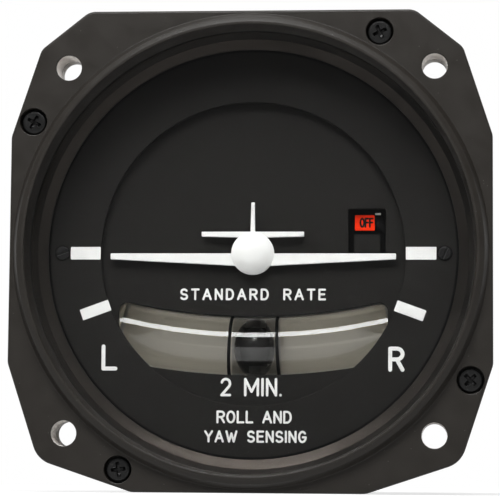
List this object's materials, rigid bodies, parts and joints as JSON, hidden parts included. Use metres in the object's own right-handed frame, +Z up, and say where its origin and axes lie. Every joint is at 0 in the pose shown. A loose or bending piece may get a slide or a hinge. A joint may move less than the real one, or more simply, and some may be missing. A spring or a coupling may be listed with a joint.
{
  "type": "aircraft turn coordinator",
  "caption": "Panel instrument: a canted rate gyro turns a small aeroplane pointer over a dial through bevel gears, with a ball slip indicator and a power flag.",
  "frame": {"origin": "centre of the four mounting holes, on the flange's front face, which bears on the back of the panel", "axes": "+X to the right of the dial, +Z up the dial, +Y from the dial back into the panel"},
  "size_m": [0.0826, 0.1484, 0.0826],
  "materials": {
    "black_enamel": "satin",
    "case_paint": "satin",
    "rubber": "matt",
    "glass": "clear",
    "tube_glass": "clear",
    "spacer_black": "satin",
    "dial_black": "matt",
    "black_steel": "black oxide",
    "bright_steel": "ground",
    "bearing_steel": "polished",
    "chassis_aluminium": "machined",
    "gear_brass": "machined",
    "magnet_steel": "plain",
    "pointer_white": "matt",
    "flag_orange": "matt",
    "ball_black": "gloss",
    "tube_back": "matt",
    "line_black": "matt",
    "board_green": "plain",
    "component_dark": "plain",
    "connector_metal": "plated",
    "insert_black": "moulded",
    "pin_gold": "plated"
  },
  "bodies": {
    "case": {"bezel": "black_enamel", "glass_gasket": "rubber", "front_glass": "glass", "glass_spacer": "spacer_black", "dial_mask": "dial_black", "mask_screws": "black_steel", "dial_plate": "dial_black", "dial_screws": "black_steel", "dial_posts": "chassis_aluminium", "bearing_housing": "chassis_aluminium", "pointer_bearings": "bearing_steel", "front_plate": "chassis_aluminium", "chassis_screws": "bright_steel", "frame_posts": "chassis_aluminium", "rear_plate": "chassis_aluminium", "post_screws": "bright_steel", "front_bracket": "chassis_aluminium", "rear_bracket": "chassis_aluminium", "pivot_bearings": "bearing_steel", "stop_pins": "bright_steel", "damper_cup": "chassis_aluminium", "damper_cover": "chassis_aluminium", "hairspring": "bright_steel", "inclinometer_tube": "tube_glass", "tube_plugs": "line_black", "tube_backing": "tube_back", "centre_lines": "line_black", "tube_clips": "chassis_aluminium", "flag_shield": "dial_black", "flag_meter": "spacer_black", "board_posts": "chassis_aluminium", "circuit_board": "board_green", "board_parts": "component_dark", "case_gasket": "rubber", "case_shell": "case_paint", "case_screws": "black_steel", "rear_gasket": "rubber", "rear_cover": "case_paint", "rear_screws": "bright_steel", "connector_gasket": "rubber", "connector_shell": "connector_metal", "connector_insert": "insert_black", "connector_pins": "pin_gold", "connector_screws": "bright_steel"},
    "pointer": {"aircraft_pointer": "pointer_white", "pointer_shaft": "bright_steel", "bevel_pinion": "gear_brass"},
    "gimbal": {"gimbal_frame": "chassis_aluminium", "spin_bearings": "bearing_steel", "gimbal_pivots": "bright_steel", "stator": "magnet_steel", "sector_gear": "gear_brass", "damper_disc": "chassis_aluminium"},
    "rotor": {"rotor": "gear_brass", "rotor_shaft": "bright_steel", "hysteresis_ring": "magnet_steel"},
    "slip_ball": {"inclinometer_ball": "ball_black"},
    "flag": {"off_flag": "flag_orange", "flag_spindle": "bright_steel"}
  },
  "joints": [
    {"name": "gimbal_turn", "type": "hinge", "parent": "case", "child": "gimbal", "pos_m": [0, 0.06519, 0], "axis": [0, -0.866, 0.5], "range_deg": [-20, 20], "stiffness_Nm_per_rad": 0.02},
    {"name": "pointer_turn", "type": "hinge", "parent": "case", "child": "pointer", "pos_m": [0, 0.06519, 0], "axis": [0, -1, 0], "range_deg": [-41, 41]},
    {"name": "rotor_spin", "type": "hinge", "parent": "gimbal", "child": "rotor", "pos_m": [0, 0.06519, 0], "axis": [1, 0, 0], "continuous": true},
    {"name": "ball_roll", "type": "hinge", "parent": "case", "child": "slip_ball", "pos_m": [0, 0.01555, 0.08804], "axis": [0, -1, 0], "range_deg": [-11, 11]},
    {"name": "flag_swing", "type": "hinge", "parent": "case", "child": "flag", "pos_m": [0.027, 0.01075, 0.001], "axis": [0, -1, 0], "range_deg": [0, 42], "stiffness_Nm_per_rad": 0.0002, "springref_deg": -5.73}
  ],
  "couplings": [
    {"joint": "pointer_turn", "follows": "gimbal_turn", "ratio": -2}
  ]
}
